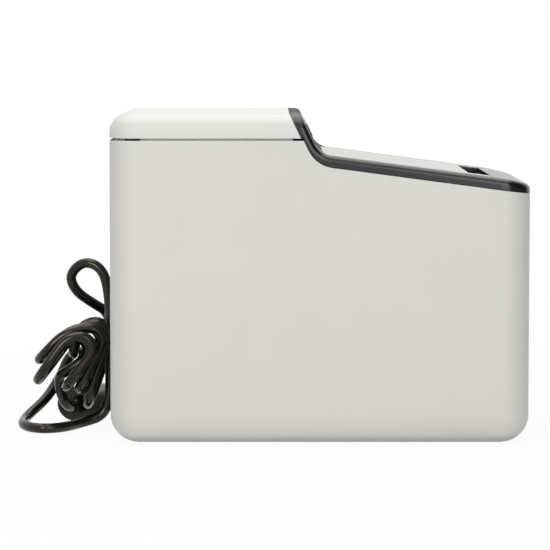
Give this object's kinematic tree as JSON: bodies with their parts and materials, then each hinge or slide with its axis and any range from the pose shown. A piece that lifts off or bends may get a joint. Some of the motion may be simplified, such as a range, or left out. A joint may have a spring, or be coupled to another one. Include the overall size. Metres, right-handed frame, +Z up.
{
  "type": "thermal label printer",
  "caption": "Compact desktop thermal label printer: white tub, hinged cover with a black-trimmed sloped front, label roll, platen drive, sprung print head and a tied mains cord.",
  "frame": {"origin": "on the table, under the middle of the housing", "axes": "+X across, front faces -Y, +Z up"},
  "size_m": [0.1397, 0.2697, 0.171],
  "materials": {
    "housing": "satin",
    "lid": "semi-gloss",
    "trim": "satin black",
    "panel": "semi-gloss",
    "riser": "gloss",
    "keys": "satin",
    "lens": "clear",
    "liner": "matt",
    "rubber": "matt",
    "steel": "bright",
    "plated": "zinc plated",
    "bush": "satin",
    "gear": "satin",
    "board": "satin",
    "component": "satin",
    "standoff": "bright",
    "inlet": "satin",
    "contact": "bright",
    "head": "glazed",
    "aluminium": "extruded",
    "paper": "paper",
    "core": "board",
    "cord": "gloss"
  },
  "bodies": {
    "base": {"body_shell": "housing", "base_plate": "housing", "rubber_feet": "rubber", "base_screws": "steel", "inner_chassis": "liner", "mechanism_frame": "plated", "platen_bushes": "bush", "stepper_motor": "plated", "idler_stud": "steel", "exit_guide": "liner", "main_board": "board", "board_standoffs": "standoff", "board_components": "component", "power_inlet": "inlet", "inlet_contacts": "contact", "usb_socket": "plated", "hinge_bracket": "steel", "hinge_pins": "steel", "cord_connector": "cord", "cord_lead": "cord", "cord_hank": "cord", "cord_tail": "cord", "mains_plug": "cord", "plug_pins": "contact"},
    "cover": {"lid_shell": "lid", "trim_frame": "trim", "front_panel": "panel", "riser_panel": "riser", "status_lens": "lens", "button_board": "board", "cover_liner": "liner", "cover_screws": "steel", "head_hanger": "plated", "head_pivot": "steel", "tear_bar": "steel", "gap_sensor": "component"},
    "power_key": {"power_button": "keys"},
    "feed_key": {"feed_button": "keys"},
    "head": {"print_head": "head", "heat_sink": "aluminium", "head_springs": "steel"},
    "spool": {"label_roll": "paper", "roll_core": "core", "spool_spindle": "bush", "spool_flanges": "bush"},
    "platen": {"platen_shaft": "steel", "platen_rubber": "rubber", "platen_gear": "gear"},
    "idler": {"idler_gear": "gear"},
    "rotor": {"motor_shaft": "steel", "motor_pinion": "gear"}
  },
  "joints": [
    {"name": "cover_hinge", "type": "hinge", "parent": "base", "child": "cover", "pos_m": [0, 0.1048, 0.161], "axis": [-1, 0, 0], "range_deg": [0, 85]},
    {"name": "power_press", "type": "slide", "parent": "cover", "child": "power_key", "axis": [0, 0.9026, -0.4305], "range_m": [0, 0.0012], "stiffness_N_per_m": 400},
    {"name": "feed_press", "type": "slide", "parent": "cover", "child": "feed_key", "axis": [0, 0.9026, -0.4305], "range_m": [0, 0.0012], "stiffness_N_per_m": 400},
    {"name": "head_float", "type": "hinge", "parent": "cover", "child": "head", "pos_m": [0, -0.04271, 0.11703], "axis": [-1, 0, 0], "range_deg": [0, 2], "stiffness_Nm_per_rad": 4, "springref_deg": -1.15},
    {"name": "spool_spin", "type": "hinge", "parent": "base", "child": "spool", "pos_m": [0, 0.052, 0.101], "axis": [1, 0, 0], "continuous": true},
    {"name": "platen_spin", "type": "hinge", "parent": "base", "child": "platen", "pos_m": [0, -0.056, 0.112], "axis": [1, 0, 0], "continuous": true},
    {"name": "idler_spin", "type": "hinge", "parent": "base", "child": "idler", "pos_m": [0, -0.03945, 0.09907], "axis": [1, 0, 0], "continuous": true},
    {"name": "rotor_spin", "type": "hinge", "parent": "base", "child": "rotor", "pos_m": [0, -0.02074, 0.09644], "axis": [1, 0, 0], "continuous": true}
  ],
  "couplings": [
    {"joint": "idler_spin", "follows": "platen_spin", "ratio": -0.66667},
    {"joint": "rotor_spin", "follows": "platen_spin", "ratio": 1.3333}
  ]
}
